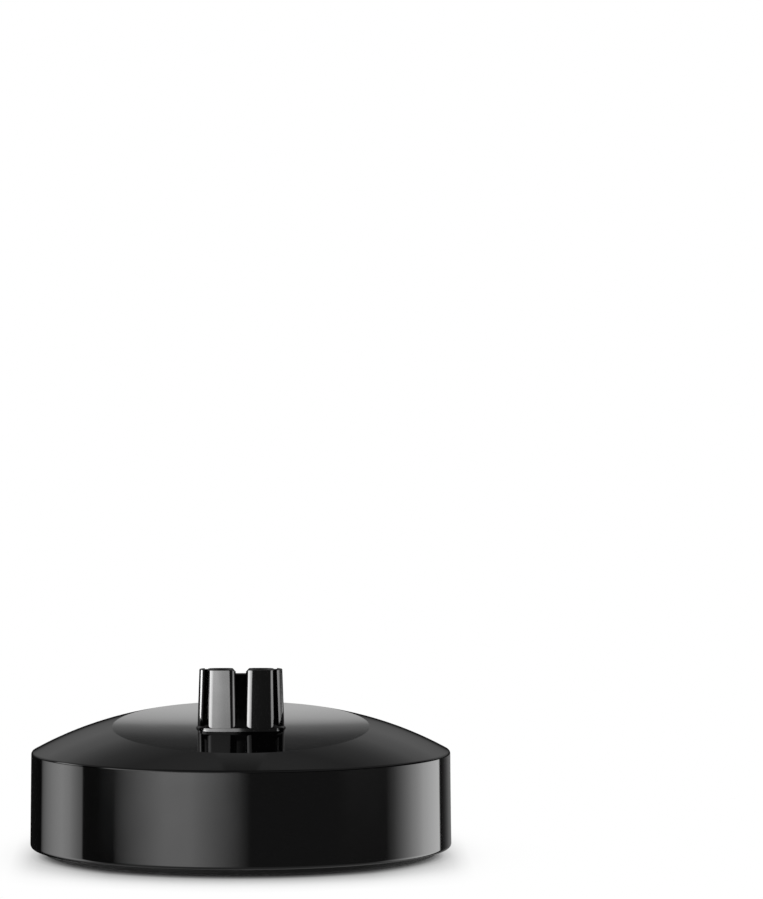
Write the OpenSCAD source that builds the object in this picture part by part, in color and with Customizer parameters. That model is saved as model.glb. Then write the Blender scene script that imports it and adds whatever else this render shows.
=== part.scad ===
// Charging stand for a shaver: a round, weighted housing with a sloping dish and a two-pole contact post.
// The origin is on the housing's axis at table height. +Z is up, the dish slopes down to the front (-Y)
// and the supply inlet is at the rear (+Y). All sizes are in millimetres and all angles in degrees.

/* [Housing] */
// Radius of the housing at its shoulder
shoulder_r = 42.5; // [41.5:0.5:52]
// Height of the shoulder above the table
shoulder_z = 20.7; // [20:0.1:26]
// Height of the wall's lower edge above the table
skirt_z = 1.7; // [1.5:0.1:2.2]
// Radius of the rounding at the wall's lower edge
skirt_round = 0.8; // [0.3:0.1:1]
// Draft of the wall
wall_draft = 0.65; // [0:0.05:1.5]
// Thickness of the housing's wall
wall_t = 2.2; // [1.6:0.1:2.6]
// Radius of the rounding between wall and dome
shoulder_round = 0.7; // [0.3:0.1:1.2]
// Radius of the dome's arc
dome_arc_r = 74; // [70:1:100]
// Slope of the dome where it meets the wall
dome_slope = 29; // [27:0.5:32]

/* [Dish] */
// Radius of the dish's rim
dish_r = 25.9; // [22:0.1:27]
// Depth of the dish below its rim
dish_depth = 0.45; // [0.2:0.05:0.8]
// Distance of the dish's centre in front of the housing's axis
dish_forward = 10.8; // [9:0.1:12]
// Slope of the dish down to the front
dish_tilt = 6.8; // [5:0.1:8]

/* [Contact post] */
// Height of the post above the dish's centre
post_h = 11.95; // [9:0.05:16]
// Width of the post's foot
foot_w = 17.7; // [17:0.1:20]
// Depth of the post's foot
foot_d = 7; // [6.8:0.1:8]
// Corner radius of the post's foot
foot_round = 2.8; // [2:0.1:3.2]
// Height of the foot's straight edge above the dish's centre
foot_h = 0.25; // [0.2:0.05:0.6]
// Height of the 45 degree ramp that ends the post's grooves
ramp_h = 1.6; // [1:0.1:1.8]
// Distance between the two poles
pole_pitch = 7.7; // [7.6:0.1:8.2]
// Width of a pole's lobe at its foot
lobe_w = 6.05; // [5.7:0.05:6.4]
// Depth of a pole's lobe at its foot
lobe_d = 6.2; // [6:0.1:6.6]
// Distance of a lobe's front inside the foot's front edge
lobe_in = 0.1; // [0.1:0.05:0.3]
// Radius of a lobe's rear edges
lobe_back_r = 1.6; // [1:0.1:2.4]
// Radius of a lobe's front edges
lobe_front_r = 1.3; // [0.8:0.1:2]
// Draft of the lobes
lobe_draft = 1; // [0.5:0.1:1.2]
// Draft of the side ribs
rib_draft = 2; // [1:0.1:2.5]
// Thickness of the side ribs
rib_t = 1.1; // [1:0.05:1.2]
// Radius of the side ribs' rounded outer faces
rib_r = 3.3; // [2.8:0.1:3.8]
// Distance of the side ribs inside the foot's edge
rib_in = 0.1; // [0.1:0.05:0.3]
// Lean of the fronts between the lobes and the ribs
web_lean = 5; // [0:0.5:6]
// Depth of the notch between the lobes' tops
notch_h = 1; // [0.5:0.05:1.5]
// Width of the bevels beside the notch
notch_bevel = 0.6; // [0.3:0.1:0.8]
// Small edge break on the tops of the lobes
top_break = 0.1; // [0.05:0.05:0.3]

/* [Contacts] */
// Inner radius of a contact sleeve
contact_r = 1.25; // [1:0.05:1.3]
// Wall of a contact sleeve
sleeve_t = 0.3; // [0.25:0.05:0.35]
// Depth of a contact sleeve's bore
contact_depth = 9.5; // [7:0.5:11]
// Depth of the sleeve below the top of its lobe
sleeve_inset = 0.8; // [0.6:0.1:1.5]
// Width of a sleeve's spring slit
slit_w = 0.35; // [0.3:0.05:0.45]
// Radius of a sleeve's solder tail
tail_r = 0.8; // [0.6:0.05:0.9]

/* [Post mounting] */
// Depth of the pad's underside below the dish's centre
pad_drop = 2.75; // [2.4:0.05:3.1]
// Thickness of the post's seal
seal_t = 0.8; // [0.6:0.1:1.2]
// Length of the post screws' bosses below the pad
boss_l = 4; // [3.5:0.1:4.5]
// Thickness of the post's flange
flange_t = 2; // [1.6:0.1:2.4]
// Thickness of the contact carrier's plate
carrier_t = 1.6; // [1.2:0.1:2]
// Distance of a post screw outside the post's foot
post_screw_out = 6.65; // [6.2:0.05:8]

/* [Base] */
// Gap between the base cover's side and the wall
base_gap = 0.6; // [0.4:0.05:1]
// Height of the base cover above the table
base_lift = 0.6; // [0.4:0.1:1]
// Thickness of the base cover
base_t = 2.2; // [2:0.1:2.6]
// Radius of the rounding at the base cover's lower edge
base_round = 0.3; // [0.1:0.1:0.4]
// Height of the base cover's locating rim
rim_h = 2; // [1.5:0.1:2.1]
// Thickness of the locating rim
rim_t = 1.4; // [1.2:0.1:1.5]
// Width of the base cover's edge outside the foot ring's groove
edge_w = 1.7; // [1.3:0.1:2]
// Width of the foot ring
ring_w = 5.6; // [5.4:0.1:6]
// Depth of the foot ring's groove
groove_h = 0.9; // [0.6:0.05:1]
// Radius of the housing screws' bosses
case_boss_r = 2.5; // [2.1:0.1:2.5]

/* [Ballast] */
// Gap between the ballast plate and the housing screws' bosses
ballast_gap = 1; // [0.5:0.1:4]
// Thickness of the ballast plate
ballast_t = 4.5; // [3:0.1:4.8]
// Thickness of the pad under the ballast plate
pad_t = 0.5; // [0.4:0.1:0.8]
// Gap between the ballast plate's straight rear edge and the inlet pins' tails
ballast_rear_gap = 5; // [4:0.5:8]
// Distance of the ballast screws inside the plate's edge
ballast_screw_in = 8.5; // [6:0.5:10]

/* [Inlet] */
// Height of the inlet's centre above the table
inlet_z = 10.5; // [10.4:0.1:11]
// Width of the inlet's recess
recess_w = 13.9; // [13.5:0.1:14.2]
// Height of the inlet's recess
recess_h = 7.4; // [7:0.1:7.6]
// Depth of the inlet's recess
recess_d = 9; // [8:0.5:9.5]
// Wall of the inlet's nose around its recess
nose_t = 0.7; // [0.6:0.05:0.9]
// Radius of an inlet pin
pin_r = 1.2; // [1:0.05:1.25]
// Distance between the inlet pins
pin_pitch = 7.7; // [7.6:0.1:8]
// Distance of an inlet pin's tip inside the nose's end
pin_inset = 1.5; // [1:0.1:3]
// Length of an inlet pin's solder tail
pin_tail_l = 5.7; // [5.5:0.1:6.5]
// Thickness of the inlet's seal at its sides
inlet_seal_t = 1.9; // [1.5:0.1:2.2]

/* [Wiring] */
// Radius of a wire with its insulation
wire_r = 0.7; // [0.5:0.05:0.75]
// Radius of a wire's bend under the post
wire_bend = 2.6; // [2.4:0.1:3]
// Sideways slack of a wire between the post and the clip
wire_slack = 2.2; // [0:0.1:3]
// Wall of a shrink sleeve
shrink_t = 0.55; // [0.45:0.05:0.65]
// Length of a shrink sleeve
shrink_l = 4; // [3:0.5:4]

/* [Fasteners] */
// Radius of a screw's shank
screw_r = 1; // [0.9:0.05:1.1]
// Radius of a screw's head
screw_head_r = 1.9; // [1.7:0.1:2]
// Height of a screw's head
screw_head_h = 1.3; // [1.1:0.1:1.4]
// Width of a screw's driver slots
driver_w = 0.5; // [0.4:0.05:0.6]

/* [Clearances] */
// Clearance of the post's foot in its slot
slot_clear = 0.12; // [0.08:0.01:0.2]
// Clearance between a loose piece and its seat
fit_clear = 0.15; // [0.1:0.01:0.2]
// Clearance of a tight piece such as a pin in its hole
tight_clear = 0.03; // [0.02:0.01:0.05]

/* [Hidden] */

$fn = 72;
arc_fn = 360;
bowl_fn = 2000;
corner_steps = 8;
slab = 0.01;
through = 1;

// Colours of the pieces
gloss_black = [0.03, 0.03, 0.035];
satin_black = [0.07, 0.07, 0.075];
rubber_black = [0.1, 0.1, 0.1];
silicone_grey = [0.45, 0.46, 0.48];
steel = [0.55, 0.56, 0.58];
nickel = [0.78, 0.76, 0.7];
ivory = [0.86, 0.84, 0.76];
foam_grey = [0.3, 0.3, 0.32];
wire_red = [0.7, 0.08, 0.06];
wire_blue = [0.08, 0.18, 0.6];

// Housing: the wall leans in by its draft, the dome is an arc that meets it at dome_slope,
// and the rounding's centre lies shoulder_round inside both.
function wall_r(z) = shoulder_r + (shoulder_z - z) * tan(wall_draft);
function wall_inner_r(z) = wall_r(z) - wall_t;
dome_edge_z = shoulder_z + shoulder_round * tan((90 - dome_slope) / 2);
dome_c = [shoulder_r - dome_arc_r * sin(dome_slope), dome_edge_z - dome_arc_r * cos(dome_slope)];
function dome_z(rho) = dome_c.y + sqrt(pow(dome_arc_r, 2) - pow(rho - dome_c.x, 2));
dome_top = dome_c.y + dome_arc_r;
round_x = shoulder_r - shoulder_round;
round_c = [round_x, dome_c.y + sqrt(pow(dome_arc_r - shoulder_round, 2) - pow(round_x - dome_c.x, 2))];
round_end = atan2(round_c.y - dome_c.y, round_c.x - dome_c.x);
round_over = 0.02;
skirt_r = wall_r(skirt_z);

// Dish: a shallow bowl whose rim circle touches the dome at both sides
dish_rim_z = dome_z(norm([dish_forward, dish_r]));
bowl_r = (pow(dish_r, 2) + pow(dish_depth, 2)) / (2 * dish_depth);
bowl_margin = 12;
dish_z = dish_rim_z - dish_depth;

// Screws: a pan head's rim and edge, and every screw's point
head_rim_h = 0.3;
head_rim_in = 0.5;
point_h = 1;
point_r = 0.3;

// Post: heights from the bottom up
post_top = dish_z + post_h;
foot_top = dish_z + foot_h;
foot_step = 0.06;
web_w = 3;
web_front = -1.5;
web_back = 2;
stem_back = 1.2;
stem_front = -0.8;
lobe_y = lobe_d / 2 + lobe_in - foot_d / 2;
bevel_in = 0.25;
bevel_over = 0.1;
ledge_margin = 2.1;
pad_margin = 3.4;
pad_z = dish_z - pad_drop;
boss_z = pad_z - boss_l;
post_screw_x = foot_w / 2 + post_screw_out;
ear_r = 3.2;
boss_r = 2.6;
boss_hole_depth = 3.4;
screw_short = 0.4;
ledge_z = pad_z - seal_t;
flange_z = boss_z - flange_t;
carrier_z = flange_z - carrier_t;

// Contacts
sleeve_r = contact_r + sleeve_t;
sleeve_top = post_top - sleeve_inset;
shoulder_ring_r = 2;
shoulder_ring_h = 1;
chamber_r = shoulder_ring_r + fit_clear / 2;
chamber_top = ledge_z;
tail_out = 0.4;
tail_end = carrier_z - shrink_l / 2 - tail_out;
lead_in_step = 0.2;
lead_in_r = contact_r + lead_in_step;
slit_l = 0.6 * contact_depth;
lead_in_flare = 0.5;

// Base
base_top = base_lift + base_t;
groove_top = base_lift + groove_h;
rim_top = base_top + rim_h;
rim_r = wall_inner_r(rim_top) - fit_clear;
rim_root = 0.4;
base_r = wall_inner_r(skirt_z) - base_gap;
ring_r = base_r - edge_w - fit_clear;
ring_in = ring_r - ring_w;
ring_chamfer = 0.3;
case_screw_in = 0.3;
case_screw_r = ring_r - ring_w / 2 - case_screw_in;
case_angles = [30, 150, 270];
case_screw_l = 9;
hole_spare = 0.5;
case_hole_top = groove_top + case_screw_l + hole_spare;
sink_h = 1;

// Ballast
ballast_z = base_top + pad_t;
ballast_top = ballast_z + ballast_t;
ballast_r = case_screw_r - case_boss_r - ballast_gap;
ballast_screw_r = ballast_r - ballast_screw_in;
ballast_angles = [30, 150, 270];
tip_clear = 0.1;
ballast_screw_in_base = base_t - 0.3;
ballast_screw_l = ballast_t + pad_t + ballast_screw_in_base;

// Inlet: depths along Y from the rear inwards
nose_w = recess_w + 2 * nose_t;
nose_h = recess_h + 2 * nose_t;
nose_round = 3;
nose_sunk = 0.2;
nose_end = sqrt(pow(wall_r(inlet_z), 2) - pow(nose_w / 2, 2)) - nose_sunk;
recess_end = nose_end - recess_d;
inlet_back_t = 3;
inlet_back = recess_end - inlet_back_t;
inlet_body_w = 20;
inlet_seal_end = sqrt(pow(wall_inner_r(inlet_z), 2) - pow(inlet_body_w / 2, 2)) - fit_clear;
inlet_front = inlet_seal_end - inlet_seal_t;
inlet_body_h = 11;
inlet_body_round = 1;
inlet_bottom = inlet_z - inlet_body_h / 2;
inlet_ear_t = 2;
inlet_seal_in = 0.5;
inlet_ear_d = 6;
inlet_head_gap = 0.8;
inlet_ear_out = 2.3;
inlet_screw_x = inlet_body_w / 2 + screw_head_r + inlet_head_gap;
inlet_ear_w = 2 * (inlet_screw_x + inlet_ear_out);
inlet_screw_y = inlet_back + inlet_ear_d / 2;
inlet_screw_l = 5;
pin_root_step = 0.25;
pin_root_r = pin_r + pin_root_step;
pin_shoulder_r = 1.8;
pin_shoulder_h = 1;
pin_tip_h = 0.5;
pin_tail_r = 0.7;
pin_tail_end = inlet_back - pin_tail_l;
ballast_rear = pin_tail_end - ballast_rear_gap;

// Wiring: a wire leaves the contact tail downwards, turns to the rear in an arc, runs over the
// ballast with some slack to one side, and climbs to the inlet's tail.
clip_y = 7.5;
clip_w = 4;
clip_wall = 1.2;
clip_floor = 0.75;
wire_run_z = ballast_top + clip_floor + wire_r + fit_clear;
clip_out = 1.5;
wire_climb_from = clip_y + clip_w / 2 + clip_out;
wire_climb_to = pin_tail_end - shrink_l / 2;
wire_slack_to = 4;
bend_steps = 6;
run_steps = 24;
wire_sides = 8;

function mix(a, b, t) = a + (b - a) * t;
function ease(t) = t * t * (3 - 2 * t);
function part_of(v, a, b) = min(max((v - a) / (b - a), 0), 1);
function unit(v) = v / norm(v);

// Corner points of a rectangle with round corners, centred on the origin
function round_rect(w, d, r) = [for (q = [0:3], i = [0:corner_steps])
    let (a = 90 * q + 90 * i / corner_steps, sx = (q == 0 || q == 3) ? 1 : -1, sy = q < 2 ? 1 : -1)
    [sx * (w / 2 - r), sy * (d / 2 - r)] + r * [cos(a), sin(a)]];

module rounded_block(w, d, r, h) {
    linear_extrude(h) polygon(round_rect(w, d, r));
}

module at_post() {
    translate([0, -dish_forward, 0]) children();
}

module in_dish() {
    translate([0, -dish_forward, dish_rim_z]) rotate([dish_tilt, 0, 0]) children();
}

module at_case_screws() {
    for (a = case_angles) rotate([0, 0, a]) translate([case_screw_r, 0, 0]) children();
}

module at_post_screws() {
    for (s = [-1, 1]) translate([s * post_screw_x, -dish_forward, 0]) children();
}

module at_ballast_screws() {
    for (a = ballast_angles) rotate([0, 0, a]) translate([ballast_screw_r, 0, 0]) children();
}

module at_inlet_screws() {
    for (s = [-1, 1]) translate([s * inlet_screw_x, inlet_screw_y, 0]) children();
}

// Turns a shape drawn on XY, with X to the side and Y up, to face the rear with its back at y
module facing_rear(y) {
    translate([0, y, inlet_z]) rotate([90, 0, 180]) children();
}

// Pan-head screw that points along -Z with its head's underside at z = 0
module pan_screw(l) {
    difference() {
        union() {
            cylinder(h = screw_head_h - head_rim_h, r = screw_head_r);
            translate([0, 0, screw_head_h - head_rim_h])
                cylinder(h = head_rim_h, r1 = screw_head_r, r2 = screw_head_r - head_rim_in);
            translate([0, 0, -l + point_h]) cylinder(h = l - point_h, r = screw_r);
            translate([0, 0, -l]) cylinder(h = point_h, r1 = point_r, r2 = screw_r);
        }
        driver_cross(screw_head_h);
    }
}

// Countersunk screw that points along -Z with its flat head's face at z = 0
module flat_screw(l) {
    difference() {
        union() {
            translate([0, 0, -sink_h]) cylinder(h = sink_h, r1 = screw_r, r2 = screw_head_r);
            translate([0, 0, -l + point_h]) cylinder(h = l - point_h - sink_h, r = screw_r);
            translate([0, 0, -l]) cylinder(h = point_h, r1 = point_r, r2 = screw_r);
        }
        driver_cross(0);
    }
}

module driver_cross(face_z) {
    cross_l = 1.25 * screw_head_r;
    cross_h = 0.5 * screw_head_h;
    for (a = [0, 90]) rotate([0, 0, a])
        translate([-cross_l / 2, -driver_w / 2, face_z - cross_h])
            cube([cross_l, driver_w, cross_h + through]);
}

module dome_profile() {
    lower = [for (i = [0:corner_steps])
        let (a = 90 * i / corner_steps - 90)
        [skirt_r - skirt_round, skirt_z + skirt_round] + skirt_round * [cos(a), sin(a)]];
    rounding = [for (i = [0:corner_steps])
        let (a = round_end * i / corner_steps, r = shoulder_round + (i == corner_steps ? round_over : 0))
        round_c + r * [cos(a), sin(a)]];
    intersection() {
        polygon(concat([[0, skirt_z]], lower, rounding,
            [[rounding[corner_steps].x, dome_top + through], [0, dome_top + through]]));
        translate(dome_c) circle(r = dome_arc_r, $fn = arc_fn);
    }
}

module cavity_profile() {
    intersection() {
        polygon([[0, skirt_z - through], [wall_inner_r(skirt_z - through), skirt_z - through],
            [wall_inner_r(dome_top), dome_top], [0, dome_top]]);
        translate(dome_c) circle(r = dome_arc_r - wall_t, $fn = arc_fn);
    }
}

module dish_bowl() {
    in_dish() translate([0, 0, -dish_depth]) rotate_extrude()
        intersection() {
            translate([0, bowl_r]) circle(r = bowl_r, $fn = bowl_fn);
            square([dish_r + bowl_margin, 2 * bowl_margin]);
        }
}

// The room inside the housing: the wall's offset, less what stands in it
module cavity() {
    difference() {
        rotate_extrude() cavity_profile();
        in_dish() translate([-shoulder_r, -shoulder_r, -dish_depth - wall_t])
            cube([2 * shoulder_r, 2 * shoulder_r, shoulder_r]);
        at_post() translate([0, 0, pad_z])
            rounded_block(foot_w + 2 * pad_margin, foot_d + 2 * pad_margin, foot_round + pad_margin,
                shoulder_r);
        at_post_screws() translate([0, 0, boss_z]) cylinder(h = shoulder_r, r = boss_r);
        at_case_screws() translate([0, 0, base_top]) cylinder(h = shoulder_r, r = case_boss_r);
    }
}

module upper_shell() {
    color(gloss_black) difference() {
        rotate_extrude() dome_profile();
        dish_bowl();
        cavity();
        at_post() rounded_block(foot_w + 2 * slot_clear, foot_d + 2 * slot_clear, foot_round + slot_clear,
            dome_top + through);
        at_post_screws() translate([0, 0, boss_z - through])
            cylinder(h = boss_hole_depth + through, r = screw_r + tight_clear);
        at_case_screws() translate([0, 0, base_top - through])
            cylinder(h = case_hole_top - base_top + through, r = screw_r + tight_clear);
        facing_rear(inlet_front) rounded_block(nose_w + 2 * fit_clear, nose_h + 2 * fit_clear,
            nose_round + fit_clear, shoulder_r);
    }
}

// Half section of the base cover: a disc with the foot ring's groove and the locating rim
module base_profile() {
    lower = [for (i = [0:corner_steps])
        let (a = 90 * i / corner_steps - 90)
        [base_r - base_round, base_lift + base_round] + base_round * [cos(a), sin(a)]];
    groove_in = ring_in - fit_clear;
    groove_out = ring_r + fit_clear;
    polygon(concat([[0, base_lift], [groove_in, base_lift], [groove_in, groove_top],
        [groove_out, groove_top], [groove_out, base_lift]], lower,
        [[base_r, base_top - rim_root], [rim_r, base_top - rim_root], [rim_r, rim_top],
        [rim_r - rim_t, rim_top], [rim_r - rim_t, base_top], [0, base_top]]));
}

module base_cover() {
    color(satin_black) difference() {
        union() {
            rotate_extrude() base_profile();
            at_inlet_screws() translate([0, 0, base_top - through])
                cylinder(h = inlet_bottom - base_top + through, r = inlet_ear_d / 2);
        }
        at_case_screws() {
            cylinder(h = base_top + through, r = screw_r + fit_clear);
            translate([0, 0, groove_top])
                cylinder(h = sink_h, r1 = screw_head_r + tight_clear, r2 = screw_r + tight_clear);
        }
        at_ballast_screws() translate([0, 0, ballast_top - ballast_screw_l - tip_clear])
            cylinder(h = ballast_screw_l, r = screw_r + tight_clear);
        at_inlet_screws() translate([0, 0, inlet_bottom + inlet_ear_t - inlet_screw_l - tip_clear])
            cylinder(h = inlet_screw_l, r = screw_r + tight_clear);
    }
}

module foot_ring() {
    color(rubber_black) difference() {
        union() {
            translate([0, 0, ring_chamfer]) cylinder(h = groove_top - ring_chamfer, r = ring_r);
            cylinder(h = ring_chamfer, r1 = ring_r - ring_chamfer, r2 = ring_r);
        }
        translate([0, 0, -through]) cylinder(h = groove_top + 2 * through, r = ring_in);
    }
}

module case_screws() {
    color(steel) at_case_screws() translate([0, 0, groove_top]) rotate([180, 0, 0])
        flat_screw(case_screw_l);
}

// Outline of the ballast and its pad: a disc with a straight rear edge
module ballast_blank(h) {
    difference() {
        cylinder(h = h, r = ballast_r);
        translate([-ballast_r, ballast_rear, -through])
            cube([2 * ballast_r, ballast_r, h + 2 * through]);
        at_ballast_screws() translate([0, 0, -through])
            cylinder(h = h + 2 * through, r = screw_r + fit_clear);
    }
}

module ballast_plate() {
    color(steel) translate([0, 0, ballast_z]) ballast_blank(ballast_t);
}

module ballast_pad() {
    color(foam_grey) translate([0, 0, base_top]) ballast_blank(pad_t);
}

module ballast_screws() {
    color(steel) at_ballast_screws() translate([0, 0, ballast_top]) pan_screw(ballast_screw_l);
}

// Plan of one lobe: a block with two round corners at the back and two at the front
function lobe_outline(w, d) = [for (q = [0:3], i = [0:corner_steps])
    let (a = 90 * q + 90 * i / corner_steps, sx = (q == 0 || q == 3) ? 1 : -1, sy = q < 2 ? 1 : -1,
        r = q < 2 ? lobe_back_r : lobe_front_r)
    [sx * (w / 2 - r), sy * (d / 2 - r)] + r * [cos(a), sin(a)]];

module lobe(side) {
    lean = (post_top - foot_top) * tan(lobe_draft);
    translate([side * pole_pitch / 2, lobe_y - dish_forward, 0]) hull() {
        translate([0, 0, foot_top - foot_step]) linear_extrude(slab)
            polygon(lobe_outline(lobe_w, lobe_d));
        translate([0, 0, post_top - top_break])
            linear_extrude(slab) polygon(lobe_outline(lobe_w - 2 * lean, lobe_d - 2 * lean));
        translate([0, 0, post_top - slab]) linear_extrude(slab)
            polygon(lobe_outline(lobe_w - 2 * lean - 2 * top_break, lobe_d - 2 * lean - 2 * top_break));
    }
}

// Plan of a side rib on the right: a flat inner face and a round outer face that ends at x = 0
function rib_outline(r, t) = [for (i = [0:2 * corner_steps])
    let (a = acos(1 - t / r) * (i / corner_steps - 1))
    [r * cos(a) - r, r * sin(a)]];

module rib() {
    lean = (post_top - foot_top) * tan(rib_draft);
    at_post() translate([foot_w / 2 - rib_in, 0, 0]) hull() {
        translate([0, 0, foot_top - foot_step]) linear_extrude(slab) polygon(rib_outline(rib_r, rib_t));
        translate([-lean, 0, post_top - top_break]) linear_extrude(slab)
            polygon(rib_outline(rib_r, rib_t));
        translate([-lean - top_break, 0, post_top - slab]) linear_extrude(slab)
            polygon(rib_outline(rib_r - top_break, rib_t - 2 * top_break));
    }
}

// Wall across the post from x to x + w, whose front leans back
module leaning_wall(x, w, front, back, h) {
    at_post() translate([x + w, 0, foot_top - foot_step]) rotate([0, -90, 0]) linear_extrude(w)
        polygon([[0, front], [0, back], [h, back], [h, front + h * tan(web_lean)]]);
}

// Web between the lobes, and a lower, thinner stem from each lobe to its rib
module web() {
    leaning_wall(-web_w / 2, web_w, web_front, web_back, post_top - notch_h - foot_top + foot_step);
}

module stems() {
    h = post_top - top_break - foot_top + foot_step;
    out = foot_w / 2 - rib_in - rib_t / 2 - (post_top - foot_top) * tan(rib_draft);
    for (x = [-out, pole_pitch / 2])
        leaning_wall(x, out - pole_pitch / 2, stem_front, stem_back, h);
}

// Foot of the post: a drafted edge in the slot, then a ramp that closes the grooves
module foot() {
    taper = (foot_top - ledge_z) * tan(lobe_draft);
    at_post() {
        hull() {
            translate([0, 0, ledge_z - slab]) rounded_block(foot_w, foot_d, foot_round, slab);
            translate([0, 0, foot_top - slab])
                rounded_block(foot_w - 2 * taper, foot_d - 2 * taper, foot_round - taper, slab);
            translate([0, 0, foot_top + ramp_h - slab])
                rounded_block(foot_w - 2 * ramp_h, foot_d - 2 * ramp_h, foot_round - ramp_h, slab);
        }
    }
}

module ear_plate(h) {
    rounded_block(2 * (post_screw_x + ear_r), 2 * ear_r, ear_r, h);
}

module notch_bevels() {
    low = pole_pitch / 2 - lobe_w / 2 + bevel_in;
    high = low + notch_bevel + bevel_over;
    at_post() translate([0, foot_d, 0]) rotate([90, 0, 0]) linear_extrude(2 * foot_d)
        polygon([[-low, post_top - notch_bevel], [low, post_top - notch_bevel],
            [high, post_top + bevel_over], [-high, post_top + bevel_over]]);
}

module connector_post() {
    color(gloss_black) difference() {
        union() {
            for (s = [-1, 1]) lobe(s);
            rib();
            mirror([1, 0, 0]) rib();
            web();
            stems();
            foot();
            at_post() {
                translate([0, 0, flange_z])
                    rounded_block(foot_w + 2 * ledge_margin, foot_d + 2 * ledge_margin,
                        foot_round + ledge_margin, ledge_z - flange_z);
                translate([0, 0, flange_z]) ear_plate(flange_t);
            }
        }
        notch_bevels();
        for (s = [-1, 1]) translate([s * pole_pitch / 2, -dish_forward, 0]) {
            translate([0, 0, flange_z - through])
                cylinder(h = chamber_top - flange_z + through, r = chamber_r);
            cylinder(h = sleeve_top, r = sleeve_r + tight_clear);
            cylinder(h = post_top + through, r = lead_in_r);
            translate([0, 0, post_top - lead_in_flare])
                cylinder(h = lead_in_flare + slab, r1 = lead_in_r, r2 = lead_in_r + lead_in_flare);
        }
        at_post_screws() translate([0, 0, flange_z - through])
            cylinder(h = flange_t + 2 * through, r = screw_r + fit_clear);
    }
}

module post_seal() {
    color(silicone_grey) at_post() translate([0, 0, ledge_z]) difference() {
        rounded_block(foot_w + 2 * ledge_margin, foot_d + 2 * ledge_margin,
            foot_round + ledge_margin, seal_t);
        translate([0, 0, -through])
            rounded_block(foot_w + 2 * slot_clear, foot_d + 2 * slot_clear, foot_round + slot_clear,
                seal_t + 2 * through);
    }
}

module contact_carrier() {
    color(ivory) difference() {
        union() {
            at_post() translate([0, 0, carrier_z]) ear_plate(carrier_t);
            for (s = [-1, 1]) translate([s * pole_pitch / 2, -dish_forward, carrier_z])
                cylinder(h = chamber_top - shoulder_ring_h - carrier_z, r = chamber_r - fit_clear / 2);
        }
        for (s = [-1, 1]) translate([s * pole_pitch / 2, -dish_forward, carrier_z - through])
            cylinder(h = chamber_top, r = tail_r + tight_clear);
        at_post_screws() translate([0, 0, carrier_z - through])
            cylinder(h = carrier_t + 2 * through, r = screw_r + fit_clear);
    }
}

module post_screws() {
    color(steel) at_post_screws() translate([0, 0, carrier_z]) rotate([180, 0, 0])
        pan_screw(carrier_t + flange_t + boss_hole_depth - screw_short);
}

// Slit spring sleeve with a shoulder ring that the carrier holds, and a solder tail
module contact_sleeve(side) {
    color(nickel) translate([side * pole_pitch / 2, -dish_forward, 0]) difference() {
        union() {
            translate([0, 0, chamber_top - shoulder_ring_h])
                cylinder(h = sleeve_top - chamber_top + shoulder_ring_h, r = sleeve_r);
            translate([0, 0, chamber_top - shoulder_ring_h])
                cylinder(h = shoulder_ring_h, r = shoulder_ring_r);
            translate([0, 0, tail_end]) cylinder(h = chamber_top - tail_end, r = tail_r);
        }
        translate([0, 0, sleeve_top - contact_depth])
            cylinder(h = contact_depth + through, r = contact_r);
        translate([0, -slit_w / 2, sleeve_top - slit_l])
            cube([sleeve_r + through, slit_w, contact_depth]);
    }
}

module contact_sleeve_left() {
    contact_sleeve(-1);
}

module contact_sleeve_right() {
    contact_sleeve(1);
}

module inlet_housing() {
    color(satin_black) difference() {
        union() {
            facing_rear(inlet_back)
                rounded_block(inlet_body_w, inlet_body_h, inlet_body_round, inlet_front - inlet_back);
            facing_rear(inlet_front - through)
                rounded_block(nose_w, nose_h, nose_round, nose_end - inlet_front + through);
            translate([-inlet_ear_w / 2, inlet_back, inlet_bottom])
                cube([inlet_ear_w, inlet_ear_d, inlet_ear_t]);
        }
        facing_rear(recess_end)
            rounded_block(recess_w, recess_h, nose_round - nose_t, recess_d + through);
        for (s = [-1, 1]) translate([s * pin_pitch / 2, 0, inlet_z]) rotate([-90, 0, 0])
            cylinder(h = nose_end, r = pin_root_r + tight_clear);
        at_inlet_screws() translate([0, 0, inlet_bottom - through])
            cylinder(h = inlet_ear_t + 2 * through, r = screw_r + fit_clear);
    }
}

// Seal between the inlet and the wall, whose rear follows the wall's curve
module inlet_seal() {
    color(silicone_grey) difference() {
        intersection() {
            facing_rear(inlet_front)
                rounded_block(inlet_body_w - 2 * inlet_seal_in, inlet_body_h - 2 * inlet_seal_in,
                    nose_round, shoulder_r - inlet_front);
            cylinder(h = shoulder_z, r = wall_inner_r(inlet_z + inlet_body_h / 2) - tight_clear,
                $fn = arc_fn);
        }
        facing_rear(inlet_front - through)
            rounded_block(nose_w + 2 * tight_clear, nose_h + 2 * tight_clear, nose_round + tight_clear,
                shoulder_r);
    }
}

module inlet_screws() {
    color(steel) at_inlet_screws() translate([0, 0, inlet_bottom + inlet_ear_t])
        pan_screw(inlet_screw_l);
}

module inlet_pin(side) {
    tip_y = nose_end - pin_inset;
    color(nickel) translate([side * pin_pitch / 2, 0, inlet_z]) rotate([-90, 0, 0]) {
        translate([0, 0, inlet_back]) cylinder(h = inlet_back_t, r = pin_root_r);
        translate([0, 0, recess_end]) cylinder(h = tip_y - pin_tip_h - recess_end, r = pin_r);
        translate([0, 0, tip_y - pin_tip_h]) cylinder(h = pin_tip_h, r1 = pin_r, r2 = pin_r - pin_tip_h);
        translate([0, 0, inlet_back - pin_shoulder_h]) cylinder(h = pin_shoulder_h, r = pin_shoulder_r);
        translate([0, 0, pin_tail_end]) cylinder(h = inlet_back - pin_tail_end, r = pin_tail_r);
    }
}

module inlet_pin_left() {
    inlet_pin(-1);
}

module inlet_pin_right() {
    inlet_pin(1);
}

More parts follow.
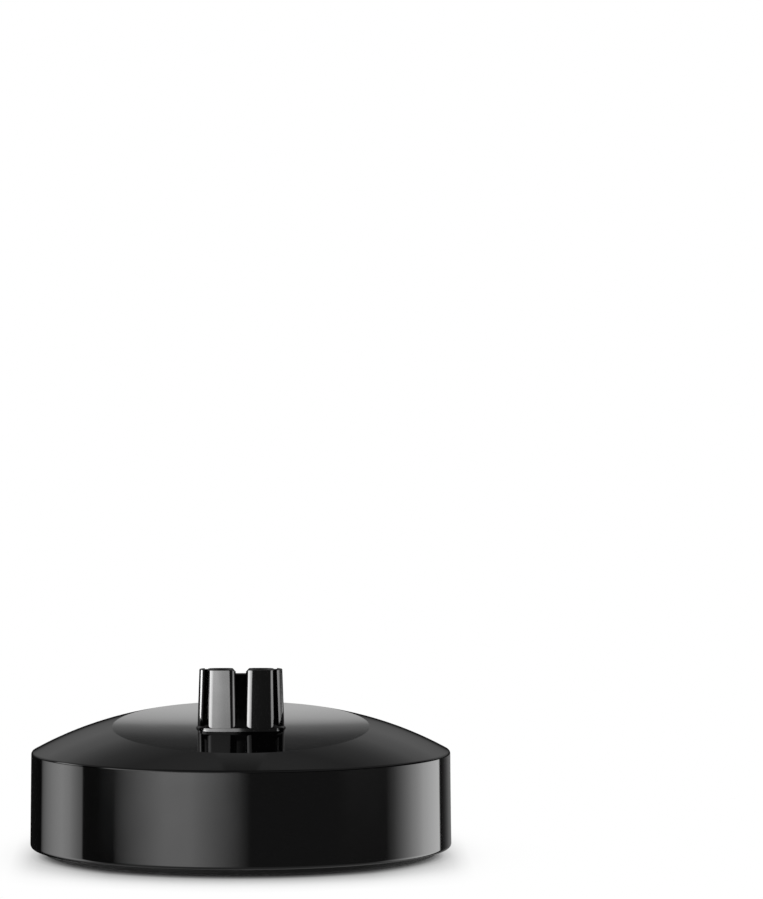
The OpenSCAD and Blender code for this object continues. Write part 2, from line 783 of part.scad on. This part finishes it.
// Route of a wire on one side, in points from the contact tail to the inlet tail
function wire_point(side, y) =
    let (rise = ease(part_of(y, wire_climb_from, wire_climb_to)),
        out = wire_slack * pow(sin(180 * part_of(y, wire_bend - dish_forward, wire_slack_to)), 2))
    [side * (mix(pole_pitch, pin_pitch, rise) / 2 + out), y, mix(wire_run_z, inlet_z, rise)];

function wire_route(side) = concat(
    [[side * pole_pitch / 2, -dish_forward, tail_end],
        [side * pole_pitch / 2, -dish_forward, tail_end - shrink_l / 2]],
    [for (i = [0:bend_steps]) let (a = 90 * i / bend_steps)
        [side * pole_pitch / 2, -dish_forward + wire_bend * (1 - cos(a)),
            wire_run_z + wire_bend * (1 - sin(a))]],
    [for (i = [1:run_steps])
        wire_point(side, mix(wire_bend - dish_forward, wire_climb_to, i / run_steps))],
    [[side * pin_pitch / 2, pin_tail_end, inlet_z]]);

// Tube of flat-sided rings, each square to the route at its point
module tube(points, r, sides) {
    last = len(points) - 1;
    function heading(i) = unit(points[min(i + 1, last)] - points[max(i - 1, 0)]);
    rings = [for (i = [0:last])
        let (d = i == 0 ? [0, 0, -1] : i == last ? [0, 1, 0] : heading(i),
            u = unit(cross([1, 0, 0], d)), v = cross(d, u))
        for (k = [0:sides - 1])
            points[i] + r * (u * cos(360 * k / sides) + v * sin(360 * k / sides))];
    walls = [for (i = [0:last - 1], k = [0:sides - 1])
        let (a = i * sides + k, b = i * sides + (k + 1) % sides)
        each [[a, b, b + sides], [a, b + sides, a + sides]]];
    end = last * sides;
    near = [for (k = [1:sides - 2]) [0, k + 1, k]];
    far = [for (k = [1:sides - 2]) [end, end + k, end + k + 1]];
    polyhedron(points = rings, faces = concat(walls, near, far));
}

module wire_left() {
    color(wire_blue) tube(wire_route(-1), wire_r, wire_sides);
}

module wire_right() {
    color(wire_red) tube(wire_route(1), wire_r, wire_sides);
}

module shrink_sleeve() {
    bore_r = max(wire_r, tail_r) + tight_clear;
    translate([0, 0, -shrink_l / 2]) difference() {
        cylinder(h = shrink_l, r = bore_r + shrink_t);
        translate([0, 0, -through]) cylinder(h = shrink_l + 2 * through, r = bore_r);
    }
}

module contact_shrink_sleeves() {
    color(rubber_black) for (s = [-1, 1])
        translate([s * pole_pitch / 2, -dish_forward, tail_end]) shrink_sleeve();
}

module inlet_shrink_sleeves() {
    color(rubber_black) for (s = [-1, 1])
        translate([s * pin_pitch / 2, pin_tail_end, inlet_z]) rotate([-90, 0, 0]) shrink_sleeve();
}

// Clip that rests on the ballast and holds both wires in open saddles
module wire_clip() {
    clip_l = pole_pitch + 2 * wire_r + 2 * clip_wall;
    saddle_r = wire_r + fit_clear;
    color(ivory) difference() {
        translate([-clip_l / 2, clip_y - clip_w / 2, ballast_top])
            cube([clip_l, clip_w, wire_run_z - ballast_top + wire_r]);
        for (s = [-1, 1]) translate([s * pole_pitch / 2, clip_y - clip_w, wire_run_z]) {
            rotate([-90, 0, 0]) cylinder(h = 2 * clip_w, r = saddle_r);
            translate([-saddle_r, 0, 0]) cube([2 * saddle_r, 2 * clip_w, 3 * saddle_r]);
        }
    }
}

upper_shell();
base_cover();
foot_ring();
case_screws();
ballast_plate();
ballast_pad();
ballast_screws();
connector_post();
post_seal();
contact_carrier();
post_screws();
contact_sleeve_left();
contact_sleeve_right();
inlet_housing();
inlet_seal();
inlet_screws();
inlet_pin_left();
inlet_pin_right();
wire_left();
wire_right();
contact_shrink_sleeves();
inlet_shrink_sleeves();
wire_clip();
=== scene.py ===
"""A gloss black charging stand for a shaver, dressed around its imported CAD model.

Every visible node keeps its CAD shape. The gloss mouldings are merged copies of their nodes that carry
the exact normals of the surfaces they were turned from, so that reflections run over them unbroken.
"""

import math

import bmesh
import bpy
import numpy as np
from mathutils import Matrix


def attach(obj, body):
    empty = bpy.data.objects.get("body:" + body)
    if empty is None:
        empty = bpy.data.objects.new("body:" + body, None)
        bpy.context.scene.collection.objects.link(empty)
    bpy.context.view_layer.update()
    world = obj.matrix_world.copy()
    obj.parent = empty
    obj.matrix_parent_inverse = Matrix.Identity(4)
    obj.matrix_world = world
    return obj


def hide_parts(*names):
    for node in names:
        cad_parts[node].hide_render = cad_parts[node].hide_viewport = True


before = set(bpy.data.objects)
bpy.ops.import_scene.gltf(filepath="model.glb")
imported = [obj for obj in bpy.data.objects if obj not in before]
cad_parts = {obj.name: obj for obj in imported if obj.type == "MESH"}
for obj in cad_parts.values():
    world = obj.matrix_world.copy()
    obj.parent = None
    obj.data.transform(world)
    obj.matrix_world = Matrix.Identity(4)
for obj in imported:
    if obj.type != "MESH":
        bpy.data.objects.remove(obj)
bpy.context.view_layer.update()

MM = 0.001

# Housing profile, as the part's source has it
SHOULDER_R = 42.5 * MM
SHOULDER_Z = 20.7 * MM
WALL_DRAFT = math.radians(0.65)
DOME_ARC_R = 74 * MM
DOME_SLOPE = math.radians(29)
SHOULDER_ROUND = 0.7 * MM
SKIRT_Z = 1.7 * MM
SKIRT_ROUND = 0.8 * MM
DISH_R = 25.9 * MM
DISH_DEPTH = 0.45 * MM
DISH_FORWARD = 10.8 * MM
DISH_TILT = math.radians(6.8)

# Skins: corners closer than this are one, and edges that turn by more than this stay sharp
MERGE_WITHIN = 0.001 * MM
SMOOTH_ANGLE = math.radians(30)

# A face lies on an exact surface if it is this close to it and faces within this angle of its normal
SURFACE_SLACK = 0.08 * MM
SURFACE_AGREEMENT = math.cos(math.radians(4))

# The post's flat fronts are drawn as if very slightly crowned about its middle
CROWN_R = 100 * MM

# Half the floor's width, in metres, how far its painted shadow reaches, and how pale its paint is
FLOOR_HALF = 3.0
PAINTED_SHADOW_REACH = 30 * MM
FLOOR_PAINT = 0.8

# Elevations in degrees at which one kind of lamp fades into the next
FLOOR_GLOW_TOP = -45
BOXES_BOTTOM = -28
BOXES_TOP = -3.7
STRIP_BOTTOM = -3.4

# The photograph's camera: its place in metres, how it is turned about X and Z, its lens and sensor in
# millimetres, and the nearest that it sees in metres
CAMERA_PLACE = (0, -1.2051, 0.13545)
CAMERA_PITCH = math.radians(87.478)
CAMERA_YAW = math.radians(-1.3562)
LENS_MM = 238.48
SENSOR_MM = 36
NEAREST_SEEN = 0.05

# Places of a Mix node's sockets
MIX_FACTOR = 0
MIX_NUMBERS = (2, 3)
MIX_COLOURS = (6, 7)
MIX_COLOUR_OUT = 2


# Meshes and their normals

def merged_copy(node, name):
    """A copy of a CAD node with its loose triangles joined into one skin, standing for the node."""
    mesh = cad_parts[node].data.copy()
    mesh.name = name
    skin = bmesh.new()
    skin.from_mesh(mesh)
    bmesh.ops.remove_doubles(skin, verts=skin.verts, dist=MERGE_WITHIN)
    skin.to_mesh(mesh)
    skin.free()
    packed = mesh.attributes.get("custom_normal")
    if packed:
        mesh.attributes.remove(packed)
    mesh.shade_smooth()
    mesh.set_sharp_from_angle(angle=SMOOTH_ANGLE)
    mesh.materials.clear()
    piece = bpy.data.objects.new(name, mesh)
    bpy.context.scene.collection.objects.link(piece)
    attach(piece, "root")
    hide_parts(node)
    return piece


def unit(vectors):
    """Each row divided by its length. A row of no length stays as it is."""
    lengths = np.linalg.norm(vectors, axis=1)
    return vectors / np.where(lengths > 0, lengths, 1)[:, None]


def triangles_of(mesh):
    """Each triangle's three vertices, each vertex's place, and each triangle's cross product.

    The cross product of two sides points along the face and is as long as twice its area.
    """
    places = np.empty(len(mesh.vertices) * 3, np.float32)
    mesh.vertices.foreach_get("co", places)
    places = places.reshape(-1, 3).astype(float)
    faces = np.empty(len(mesh.loops), np.int32)
    mesh.loops.foreach_get("vertex_index", faces)
    faces = faces.reshape(-1, 3)
    a, b, c = (places[faces[:, corner]] for corner in range(3))
    return faces, places, np.cross(b - a, c - a)


def turned(points, radial, upward):
    """Normals of a surface of revolution about Z: (radial cos a, radial sin a, upward) at angle a."""
    around = np.arctan2(points[:, 1], points[:, 0])
    return unit(np.stack([radial * np.cos(around), radial * np.sin(around), upward], axis=1))


def from_axis(points):
    """How far each point is from the Z axis."""
    return np.hypot(points[:, 0], points[:, 1])


def arc_surface(centre_r, centre_z, radius):
    """An arc turned about Z. Its normals point away from the arc's centre."""
    def gap(points):
        return np.hypot(from_axis(points) - centre_r, points[:, 2] - centre_z) - radius

    def normals(points):
        return turned(points, from_axis(points) - centre_r, points[:, 2] - centre_z)
    return gap, normals


def wall_surface():
    """The drafted wall. It leans in by WALL_DRAFT, so its normals point up by that angle."""
    def gap(points):
        return from_axis(points) - SHOULDER_R - (SHOULDER_Z - points[:, 2]) * math.tan(WALL_DRAFT)

    def normals(points):
        level = np.ones(len(points))
        return turned(points, level * math.cos(WALL_DRAFT), level * math.sin(WALL_DRAFT))
    return gap, normals


def bowl_surface(centre, radius):
    """The inside of a sphere. Its normals point to the centre."""
    def gap(points):
        return np.linalg.norm(points - centre, axis=1) - radius

    def normals(points):
        return unit(centre - points)
    return gap, normals


def housing_surfaces():
    """The dish, the wall, the domed top and the two roundings, as (gap, normals) pairs.

    gap gives how far points lie from the surface, and normals gives its normals there. The dome's arc
    runs from the shoulder's sharp corner at DOME_SLOPE. The upper rounding touches the wall's vertical
    and the dome. The dish's sphere passes through a rim of DISH_R and lies DISH_DEPTH below it, and it
    is tilted about the rim's middle, which is as high as the dome at the rim's side.
    """
    corner_z = SHOULDER_Z + SHOULDER_ROUND * math.tan((math.pi / 2 - DOME_SLOPE) / 2)
    dome_r = SHOULDER_R - DOME_ARC_R * math.sin(DOME_SLOPE)
    dome_z = corner_z - DOME_ARC_R * math.cos(DOME_SLOPE)
    round_r = SHOULDER_R - SHOULDER_ROUND
    round_z = dome_z + math.sqrt((DOME_ARC_R - SHOULDER_ROUND) ** 2 - (round_r - dome_r) ** 2)
    skirt_r = SHOULDER_R + (SHOULDER_Z - SKIRT_Z) * math.tan(WALL_DRAFT) - SKIRT_ROUND
    rim_z = dome_z + math.sqrt(DOME_ARC_R ** 2 - (math.hypot(DISH_FORWARD, DISH_R) - dome_r) ** 2)
    bowl_r = (DISH_R ** 2 + DISH_DEPTH ** 2) / (2 * DISH_DEPTH)
    dish_axis = np.array([0, -math.sin(DISH_TILT), math.cos(DISH_TILT)])
    bowl_centre = np.array([0, -DISH_FORWARD, rim_z]) + (bowl_r - DISH_DEPTH) * dish_axis
    return [
        bowl_surface(bowl_centre, bowl_r),
        wall_surface(),
        arc_surface(dome_r, dome_z, DOME_ARC_R),
        arc_surface(round_r, round_z, SHOULDER_ROUND),
        arc_surface(skirt_r, SKIRT_Z + SKIRT_ROUND, SKIRT_ROUND),
    ]


def exact_normals(mesh, surfaces):
    """Corner normals from formulas: a face takes the first surface that it lies on and faces along."""
    faces, places, area = triangles_of(mesh)
    facing = unit(area)
    middles = places[faces].sum(1) / 3
    normals = np.empty(faces.size * 3, np.float32)
    mesh.corner_normals.foreach_get("vector", normals)
    normals = normals.reshape(-1, 3).astype(float)
    free = np.ones(len(faces), bool)
    for gap, normals_at in surfaces:
        aligned = (normals_at(middles) * facing).sum(1) > SURFACE_AGREEMENT
        on_it = free & aligned & (np.abs(gap(middles)) < SURFACE_SLACK)
        for corner in range(3):
            on_it &= np.abs(gap(places[faces[:, corner]])) < SURFACE_SLACK
        chosen = np.repeat(on_it, 3)
        normals[chosen] = normals_at(places[faces.ravel()[chosen]])
        free &= ~on_it
    mesh.normals_split_custom_set(normals.tolist())


def crowned_normals(mesh):
    """Corner normals that keep wide flat faces flat, with a crown on the faces to the front.

    A corner takes the sum of the cross products of the faces round its vertex that turn from its own
    by less than SMOOTH_ANGLE, so that a wide face outweighs a narrow one. Where the result points to
    the front, x / CROWN_R is added sideways, times the square of how squarely it points there.
    """
    faces, places, area = triangles_of(mesh)
    facing = unit(area)
    around = [[] for _ in places]
    for face, vertices in enumerate(faces.tolist()):
        for vertex in vertices:
            around[vertex].append(face)
    around = [np.array(near) for near in around]
    normals = np.empty((len(faces), 3, 3))
    for face, vertices in enumerate(faces.tolist()):
        for corner, vertex in enumerate(vertices):
            near = around[vertex]
            near = near[facing[near] @ facing[face] > math.cos(SMOOTH_ANGLE)]
            normals[face, corner] = area[near].sum(0)
    normals = unit(normals.reshape(-1, 3))
    to_front = np.maximum(-normals[:, 1], 0) ** 2
    normals[:, 0] += to_front * places[faces.ravel(), 0] / CROWN_R
    mesh.normals_split_custom_set(unit(normals).tolist())


# Shader maths

class Value:
    """An output socket. Sums, differences, products and quotients of it add Math nodes to its tree."""

    def __init__(self, wiring, socket):
        self.wiring, self.socket = wiring, socket

    def math(self, operation, *others):
        return self.wiring.node("Math", {"operation": operation}, [self, *others])

    def __add__(self, other):
        return self.math("ADD", other)

    def __sub__(self, other):
        return self.math("SUBTRACT", other)

    def __rsub__(self, other):
        return self.wiring.node("Math", {"operation": "SUBTRACT"}, [other, self])

    def __mul__(self, other):
        return self.math("MULTIPLY", other)

    def __truediv__(self, other):
        return self.math("DIVIDE", other)

    __radd__ = __add__


class Wiring:
    """One node tree. node() adds any node and returns one of its outputs."""

    def __init__(self, owner):
        owner.use_nodes = True
        self.tree = owner.node_tree
        self.tree.nodes.clear()

    def node(self, kind, settings=None, inputs=(), output=0):
        """A node of this type: its settings, then its inputs as values or links, then one output."""
        made = self.tree.nodes.new("ShaderNode" + kind)
        for name, setting in (settings or {}).items():
            if name == "stops":
                self.set_stops(made.color_ramp, setting)
            else:
                setattr(made, name, setting)
        named = inputs.items() if isinstance(inputs, dict) else enumerate(inputs)
        for key, entry in named:
            if isinstance(entry, Value):
                self.tree.links.new(entry.socket, made.inputs[key])
            else:
                made.inputs[key].default_value = entry
        return Value(self, made.outputs[output])

    @staticmethod
    def set_stops(ramp, stops):
        """Sets a ramp's stops from (place, grey) pairs."""
        elements = ramp.elements
        while len(elements) < len(stops):
            elements.new(1)
        for element, (place, grey) in zip(elements, stops):
            element.position = place
            element.color = (grey, grey, grey, 1)

    def ramp(self, value, stops):
        """Straight lines between (value, result) pairs, level beyond the first and the last."""
        low, high = stops[0][0], stops[-1][0]
        peak = max(result for _, result in stops)
        placed = [((place - low) / (high - low), result / peak) for place, result in stops]
        return self.node("ValToRGB", {"stops": placed}, [(value - low) / (high - low)]) * peak

    def place(self):
        """The point's place on the piece, in metres."""
        return self.node("TexCoord", output="Object")

    def noise(self, per_metre, detail, rough=0.5, at=None):
        """Cloudy noise between 0 and 1, with this many lumps to the metre."""
        return self.node("TexNoise", {}, {"Vector": at or self.place(), "Scale": per_metre,
                                          "Detail": detail, "Roughness": rough}, "Fac")

    def cells(self, per_metre):
        """Distance to the nearest of scattered points, this many to the metre."""
        return self.node("TexVoronoi", {}, {"Vector": self.place(), "Scale": per_metre}, "Distance")

    def tint(self, amount, first, second):
        """One colour turning into another as amount goes from 0 to 1."""
        before, after = MIX_COLOURS
        return self.node("Mix", {"data_type": "RGBA"},
                         {MIX_FACTOR: amount, before: (*first, 1), after: (*second, 1)}, MIX_COLOUR_OUT)

    def choice(self, amount, first, second):
        """One number turning into another as amount goes from 0 to 1."""
        before, after = MIX_NUMBERS
        return self.node("Mix", {"data_type": "FLOAT"}, {MIX_FACTOR: amount, before: first, after: second})

    def bump(self, height, depth):
        """A normal bent by height, depth metres deep."""
        return self.node("Bump", {}, {"Height": height, "Distance": depth, "Strength": 1.0}, "Normal")

    def surface(self, **inputs):
        """Ends the tree in one Principled shader; underscores in the names stand for spaces."""
        plain = {name.replace("_", " "): entry for name, entry in inputs.items()}
        self.finish(self.node("BsdfPrincipled", {}, plain), "OutputMaterial")

    def finish(self, shader, kind):
        """Ends the tree in this shader."""
        end = self.tree.nodes.new("ShaderNode" + kind)
        self.tree.links.new(shader.socket, end.inputs["Surface"])


def material(name, build):
    """A new material whose tree the function build wires."""
    made = bpy.data.materials.new(name)
    build(Wiring(made))
    return made


# Finishes: lumps, grain and streaks are counts to the metre, and bump depths are in metres

def polished_black(haze_lumps, cloud_lumps, ripples, rough, haze_rough):
    """Polished black moulding: a faint polishing haze and a skin a few tenths of a micron uneven."""
    def build(wiring):
        haze = wiring.noise(haze_lumps, 3)
        cloud = wiring.noise(cloud_lumps, 4)
        wiring.surface(
            Base_Color=wiring.tint(cloud, (0.0006, 0.0006, 0.0006), (0.0014, 0.0014, 0.0015)),
            Roughness=rough + haze * haze_rough,
            Normal=wiring.bump(wiring.noise(ripples, 2), 0.3e-6))
    return build


def spark_eroded(black, grains):
    """Satin black moulding with the fine pitted grain of a spark-eroded mould."""
    def build(wiring):
        grain = wiring.noise(grains, 3, 0.6)
        wiring.surface(
            Base_Color=wiring.tint(wiring.noise(300, 3), (black * 0.8,) * 3, (black * 1.25,) * 3),
            Roughness=0.42 + grain * 0.2,
            Specular_IOR_Level=0.06,
            Normal=wiring.bump(grain, 3e-6))
    return build


def foot_rubber(wiring):
    """Matt black rubber, finely speckled."""
    speck = wiring.noise(5000, 3, 0.7)
    wiring.surface(
        Base_Color=wiring.tint(speck, (0.012, 0.012, 0.012), (0.024, 0.024, 0.025)),
        Roughness=0.75 + speck * 0.15,
        Normal=wiring.bump(speck, 8e-6))


def metal(shade, rough, streaks, stretch):
    """Metal of this shade, drawn, rolled or turned: its streaks are thinner along the larger stretch."""
    def build(wiring):
        stretched = wiring.node("Mapping", {}, {"Vector": wiring.place(), "Scale": stretch})
        lines = wiring.noise(streaks, 4, 0.6, stretched)
        wiring.surface(
            Base_Color=wiring.tint(lines, tuple(s * 0.85 for s in shade), shade),
            Metallic=1.0,
            Roughness=rough + lines * 0.15,
            Normal=wiring.bump(lines, 2e-6))
    return build


def pad_foam(wiring):
    """Dark foam: small cells with thin walls between them."""
    cell = wiring.cells(1600)
    wiring.surface(
        Base_Color=wiring.tint(cell, (0.05, 0.05, 0.055), (0.015, 0.015, 0.017)),
        Roughness=0.9,
        Normal=wiring.bump(cell, 2e-4))


def soft_plastic(first, second, rough):
    """Dyed soft plastic or nylon: two close shades in clouds and a faintly uneven skin."""
    def build(wiring):
        cloud = wiring.noise(900, 3)
        wiring.surface(
            Base_Color=wiring.tint(cloud, first, second),
            Roughness=rough + cloud * 0.12,
            Normal=wiring.bump(wiring.noise(3600, 2), 4e-6))
    return build


def heat_shrink(wiring):
    """Black shrink sleeve, drawn tight in faint rings."""
    ring = wiring.node("TexWave", {"bands_direction": "Y"},
                       {"Vector": wiring.place(), "Scale": 500.0, "Distortion": 2.0}, "Fac")
    wiring.surface(
        Base_Color=wiring.tint(ring, (0.010, 0.010, 0.010), (0.022, 0.022, 0.022)),
        Roughness=0.5 + ring * 0.1,
        Normal=wiring.bump(ring, 1e-5))


FINISHES = {
    "housing_gloss": polished_black(160, 700, 900, 0.035, 0.03),
    "post_gloss": polished_black(300, 900, 1500, 0.05, 0.05),
    "base_satin": spark_eroded(0.024, 4000),
    "inlet_satin": spark_eroded(0.024, 5000),
    "foot_rubber": foot_rubber,
    "screw_steel": metal((0.55, 0.56, 0.58), 0.3, 900, (1, 1, 6)),
    "ballast_steel": metal((0.45, 0.45, 0.46), 0.4, 200, (1, 8, 1)),
    "pad_foam": pad_foam,
    "seal_silicone": soft_plastic((0.10, 0.10, 0.11), (0.14, 0.14, 0.15), 0.45),
    "carrier_nylon": soft_plastic((0.62, 0.60, 0.54), (0.70, 0.68, 0.62), 0.5),
    "contact_nickel": metal((0.72, 0.70, 0.66), 0.18, 1200, (1, 1, 8)),
    "wire_blue_pvc": soft_plastic((0.02, 0.06, 0.30), (0.03, 0.08, 0.36), 0.4),
    "wire_red_pvc": soft_plastic((0.40, 0.02, 0.02), (0.48, 0.03, 0.03), 0.4),
    "shrink_black": heat_shrink,
}


# Pieces: what shows gets a merged copy with a name and a finish, and what is inside only a finish

SHOWN = {
    "upper_shell": ("housing", "housing_gloss"),
    "connector_post": ("post", "post_gloss"),
    "base_cover": ("base_lid", "base_satin"),
    "foot_ring": ("foot", "foot_rubber"),
    "contact_sleeve_left": ("left_contact", "contact_nickel"),
    "contact_sleeve_right": ("right_contact", "contact_nickel"),
    "inlet_housing": ("inlet", "inlet_satin"),
    "inlet_pin_left": ("left_pin", "contact_nickel"),
    "inlet_pin_right": ("right_pin", "contact_nickel"),
    "case_screws": ("housing_screws", "screw_steel"),
}
INSIDE = {
    "ballast_plate": "ballast_steel",
    "ballast_pad": "pad_foam",
    "ballast_screws": "screw_steel",
    "post_seal": "seal_silicone",
    "contact_carrier": "carrier_nylon",
    "post_screws": "screw_steel",
    "inlet_seal": "seal_silicone",
    "inlet_screws": "screw_steel",
    "wire_left": "wire_blue_pvc",
    "wire_right": "wire_red_pvc",
    "contact_shrink_sleeves": "shrink_black",
    "inlet_shrink_sleeves": "shrink_black",
    "wire_clip": "carrier_nylon",
}

finishes = {slot: material(slot, build) for slot, build in FINISHES.items()}

pieces = {}
for node, (name, slot) in SHOWN.items():
    pieces[node] = merged_copy(node, name)
    pieces[node].data.materials.append(finishes[slot])
exact_normals(pieces["upper_shell"].data, housing_surfaces())
crowned_normals(pieces["connector_post"].data)

for node, slot in INSIDE.items():
    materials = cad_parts[node].data.materials
    materials.clear()
    materials.append(finishes[slot])


# Floor, studio and camera

def floor():
    """A wide pale floor at the foot's level."""
    mesh = bpy.data.meshes.new("floor")
    corners = [(-FLOOR_HALF, -FLOOR_HALF, 0), (FLOOR_HALF, -FLOOR_HALF, 0),
               (FLOOR_HALF, FLOOR_HALF, 0), (-FLOOR_HALF, FLOOR_HALF, 0)]
    mesh.from_pydata(corners, [], [(0, 1, 2, 3)])
    piece = bpy.data.objects.new("floor", mesh)
    bpy.context.scene.collection.objects.link(piece)
    piece.visible_glossy = False
    piece.visible_transmission = False
    return piece


def floor_paint(wiring):
    """White to the camera but for a painted shadow round the stand; pale paint to the lamps.

    How light the floor looks to the camera, from 0 to 1, is a painted shadow that follows how open the
    floor is. aside is the distance from the middle in metres, and clear is the share of the painted
    darkness that it takes away, but for the darkest part under the stand.
    """
    seen = wiring.node("LightPath", output="Is Camera Ray")
    # Painted shadow: the floor's glow to the camera is dimmed by how open the floor is, not by the lamps
    open_share = wiring.node("AmbientOcclusion", {"samples": 16}, {"Distance": PAINTED_SHADOW_REACH}, "AO")
    painted_shadow_level = wiring.ramp(open_share, [(0, 0), (0.12, 0.13), (0.3, 0.25), (0.53, 0.36), (0.7, 0.63),
                                      (0.8, 0.84), (0.92, 1.0)])
    aside = wiring.node("SeparateXYZ", {}, [wiring.place()], "X").math("ABSOLUTE")
    # The painted shadow is cleared to the sides by the distance from the middle
    clear = wiring.ramp(aside, [(0.026, 0), (0.034, 0.2), (0.040, 0.32), (0.0425, 0.46), (0.0443, 0.66),
                                (0.0465, 0.88), (0.05, 0.95)])
    painted_shadow_level = painted_shadow_level + (1 - painted_shadow_level) * clear * wiring.ramp(painted_shadow_level, [(0.05, 0), (0.18, 1)])
    # The glow that the camera sees, with the painted shadow in it
    painted_shadow_glow = wiring.node("Emission", {}, {"Strength": painted_shadow_level})
    paint = wiring.node("BsdfDiffuse", {}, {"Color": (FLOOR_PAINT, FLOOR_PAINT, FLOOR_PAINT, 1)})
    wiring.finish(wiring.node("MixShader", {}, [seen, paint, painted_shadow_glow]), "OutputMaterial")


def low_boxes(wiring, azimuth, elevation):
    """Soft boxes as the wall shows them, from the floor up to just below the horizon."""
    height = wiring.ramp(elevation, [(FLOOR_GLOW_TOP, 0), (BOXES_BOTTOM, 1), (BOXES_TOP, 1),
                                     (STRIP_BOTTOM, 0)])
    left_back = wiring.ramp(azimuth, [(-141.5, 0), (-138, 0.36), (-129, 1.0), (-115, 2.15),
                                      (-108, 2.15), (-97, 1.1), (-96, 0)])
    left_front = wiring.ramp(azimuth, [(-73.5, 0), (-72.5, 0.15), (-49, 1.9), (-42, 2.35), (-28, 2.35),
                                       (-12, 1.2), (1, 0.27), (5, 0)])
    right_back = wiring.ramp(azimuth, [(86, 0), (92, 0.42), (108, 2.2), (119, 2.95), (127, 2.8),
                                       (139.5, 2.2), (141, 0)])
    room = wiring.ramp(azimuth, [(-142, 0.01), (-141, 0.1), (-98, 0.1), (-95, 0.05), (-74, 0.05),
                                 (-70, 0.1), (1, 0.13), (60, 0.13), (90, 0.1), (141, 0.1),
                                 (142, 0.02), (148, 0.06), (160, 0.24)])
    return height * (room + left_back + left_front + right_back)


def strip_lamps(wiring, azimuth, elevation):
    """A brighter band above the soft boxes, which only the post's fronts and edges show."""
    height = wiring.ramp(elevation, [(BOXES_TOP, 0), (STRIP_BOTTOM, 0.88), (-2.6, 1.25), (0.5, 1.25),
                                     (1.5, 0)])
    front = wiring.ramp(azimuth, [(-84, 0), (-78, 17), (-54, 16), (-33, 12), (-14, 8.2),
                                  (-6.5, 8.2), (-4, 5.6), (-0.5, 5.2), (0.3, 0)])
    rear = wiring.ramp(azimuth, [(-128, 0), (-124, 14), (-111, 14), (-104, 0), (54, 0), (62, 4),
                                 (80, 5), (96, 4), (107, 1.6), (115, 0.2), (122, 0)])
    room = wiring.ramp(azimuth, [(-100, 0.02), (-96, 0.1), (1, 0.13), (60, 0.13), (90, 0.1),
                                 (120, 0.02)])
    return height * (room + front + rear)


def upper_room(wiring, azimuth, elevation):
    """The room above: a glow by elevation, windows for the post's mirror image, and a band behind.

    The dish shows the band, and the dome shows the glow. Low down, the glow is only behind.
    """
    behind = azimuth.math("ABSOLUTE")
    glow = wiring.ramp(elevation, [(2, 0), (8, 0.15), (20, 0.33), (30, 0.36), (40, 0.22),
                                   (50, 0.17), (60, 0.25), (75, 0.06)])
    glow *= 1 - wiring.ramp(behind, [(120, 1), (145, 0)]) * wiring.ramp(elevation, [(25, 1), (35, 0)])
    windows = wiring.ramp(azimuth, [(-128, 0), (-124, 2.3), (-108, 2.3), (-103, 0), (-86, 0), (-80, 3),
                                    (-54, 2.6), (-38, 0.9), (-2, 0.9), (0, 0)])
    windows *= wiring.ramp(elevation, [(12, 0), (14, 1), (26, 1), (30, 0)])
    band = wiring.ramp(elevation, [(15, 0.02), (17.5, 0.09), (19.1, 0.33), (19.3, 0.6), (20, 1.0),
                                   (21.5, 1.4), (30, 1.5), (40, 0.3), (53, 0.25), (70, 0.06)])
    in_band = wiring.ramp(behind, [(174, 0), (175, 1)]) * wiring.ramp(elevation, [(14.9, 0), (15, 1)])
    return (glow + windows) * (1 - in_band) + band * in_band


def studio(wiring):
    """White to the camera, an even pale light on matt surfaces, and soft boxes in the gloss.

    Azimuth is 0 towards the camera and grows to the right; elevation is 0 at the horizon. Both are in
    degrees. Azimuth is the angle of (x, -y), and elevation is the arc sine of z.
    """
    toward = wiring.node("TexCoord", output="Generated")
    x, y, z = (wiring.node("SeparateXYZ", {}, [toward], axis) for axis in "XYZ")
    azimuth = x.math("ARCTAN2", 0 - y) * math.degrees(1)
    elevation = z.math("ARCSINE") * math.degrees(1)
    low_and_strip = low_boxes(wiring, azimuth, elevation) + strip_lamps(wiring, azimuth, elevation)
    floor_glow = wiring.ramp(elevation, [(FLOOR_GLOW_TOP, 0.35), (BOXES_BOTTOM, 0)])
    gloss = upper_room(wiring, azimuth, elevation) + low_and_strip + floor_glow

    camera_ray, glossy_ray, passing_ray = (wiring.node("LightPath", output="Is %s Ray" % kind)
                                           for kind in ("Camera", "Glossy", "Transmission"))
    level = wiring.choice(glossy_ray, 1.0, gloss)
    level = wiring.choice(camera_ray.math("MAXIMUM", passing_ray), level, 1.0)
    wiring.finish(wiring.node("Background", {}, {"Color": (1, 1, 1, 1), "Strength": level}), "OutputWorld")


def camera():
    """The photograph's view: a long lens a little above the stand, from 1.2 m."""
    lens = bpy.data.cameras.new("camera")
    lens.lens = LENS_MM
    lens.sensor_width = SENSOR_MM
    lens.sensor_fit = "AUTO"
    lens.clip_start = NEAREST_SEEN
    taker = bpy.data.objects.new("camera", lens)
    taker.location = CAMERA_PLACE
    taker.rotation_euler = (CAMERA_PITCH, 0, CAMERA_YAW)
    bpy.context.scene.collection.objects.link(taker)
    bpy.context.scene.camera = taker


floor().data.materials.append(material("floor_paint", floor_paint))
world = bpy.data.worlds.new("studio")
studio(Wiring(world))
bpy.context.scene.world = world
camera()
bpy.context.scene.view_settings.view_transform = "Standard"
